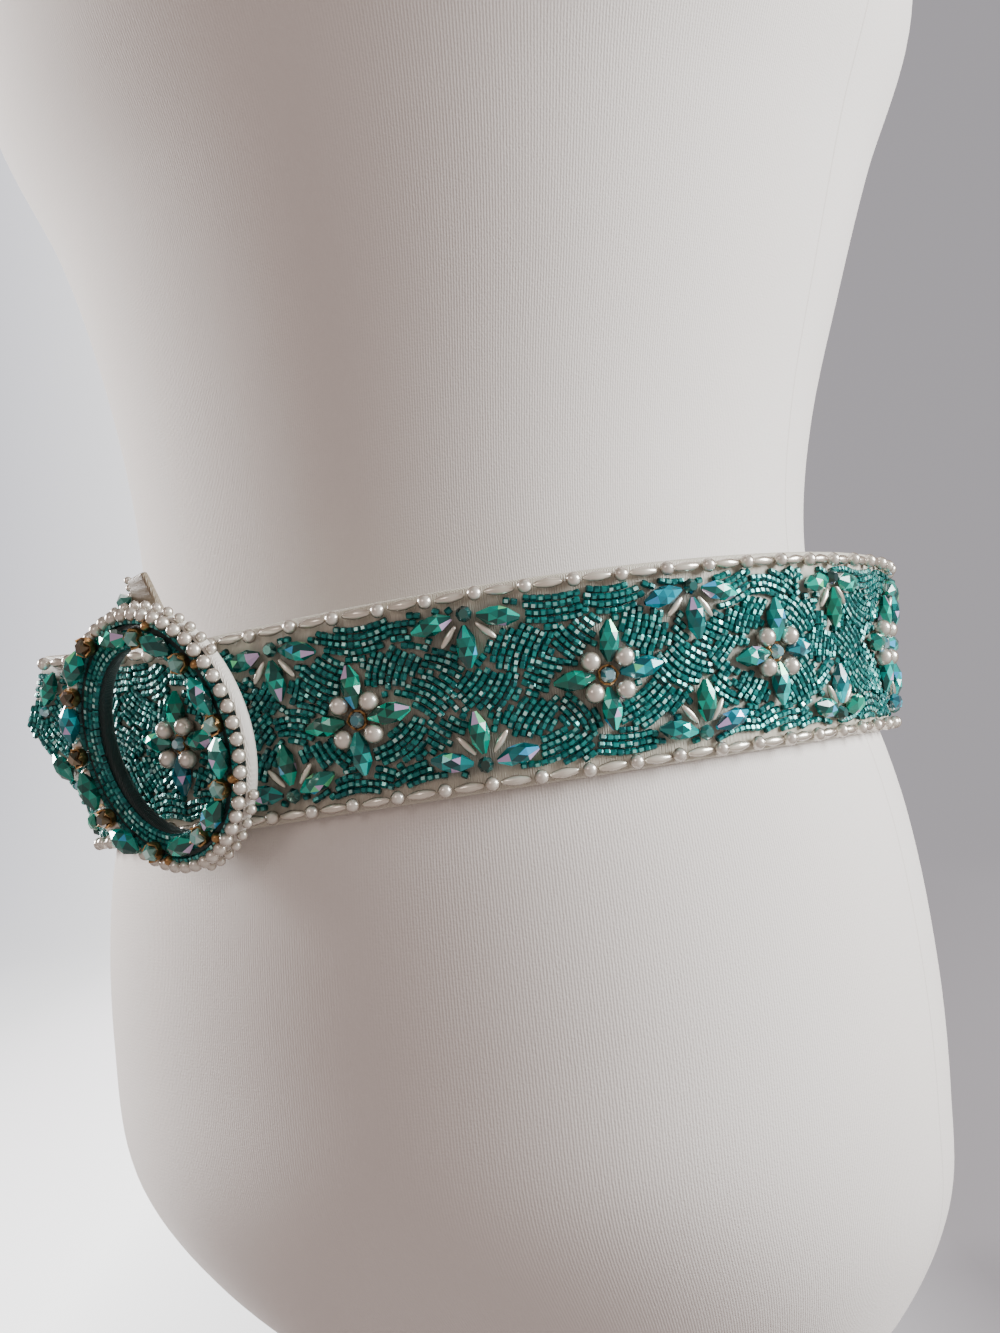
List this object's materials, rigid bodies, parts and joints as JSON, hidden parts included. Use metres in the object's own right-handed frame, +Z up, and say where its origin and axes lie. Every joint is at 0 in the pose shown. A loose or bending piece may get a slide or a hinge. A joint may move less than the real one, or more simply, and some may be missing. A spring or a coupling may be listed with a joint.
{
  "type": "beaded belt on a dress form",
  "caption": "Satin belt covered with teal beads and pearls, closed by a beaded oval ring buckle round a limbless jersey dress form.",
  "frame": {"origin": "centre of the object's box, on the flat base of the dress form", "axes": "+Z up, -Y the front with the buckle, +X the wearer's left"},
  "size_m": [0.3186, 0.3057, 0.7],
  "materials": {
    "jersey": "napped off-white jersey with fine wales",
    "satin": "cream satin",
    "teal_beads": "silver-lined and iridescent cut glass beads",
    "pearls": "imitation pearl, glossy cream"
  },
  "bodies": {
    "root": {"dress_form": "jersey", "strap": "teal_beads", "strap_edging_top": "pearls", "strap_edging_bottom": "pearls", "buckle_ring": "teal_beads", "buckle_edging": "pearls", "buckle_bar": "satin", "buckle_crest": "satin"}
  },
  "joints": []
}
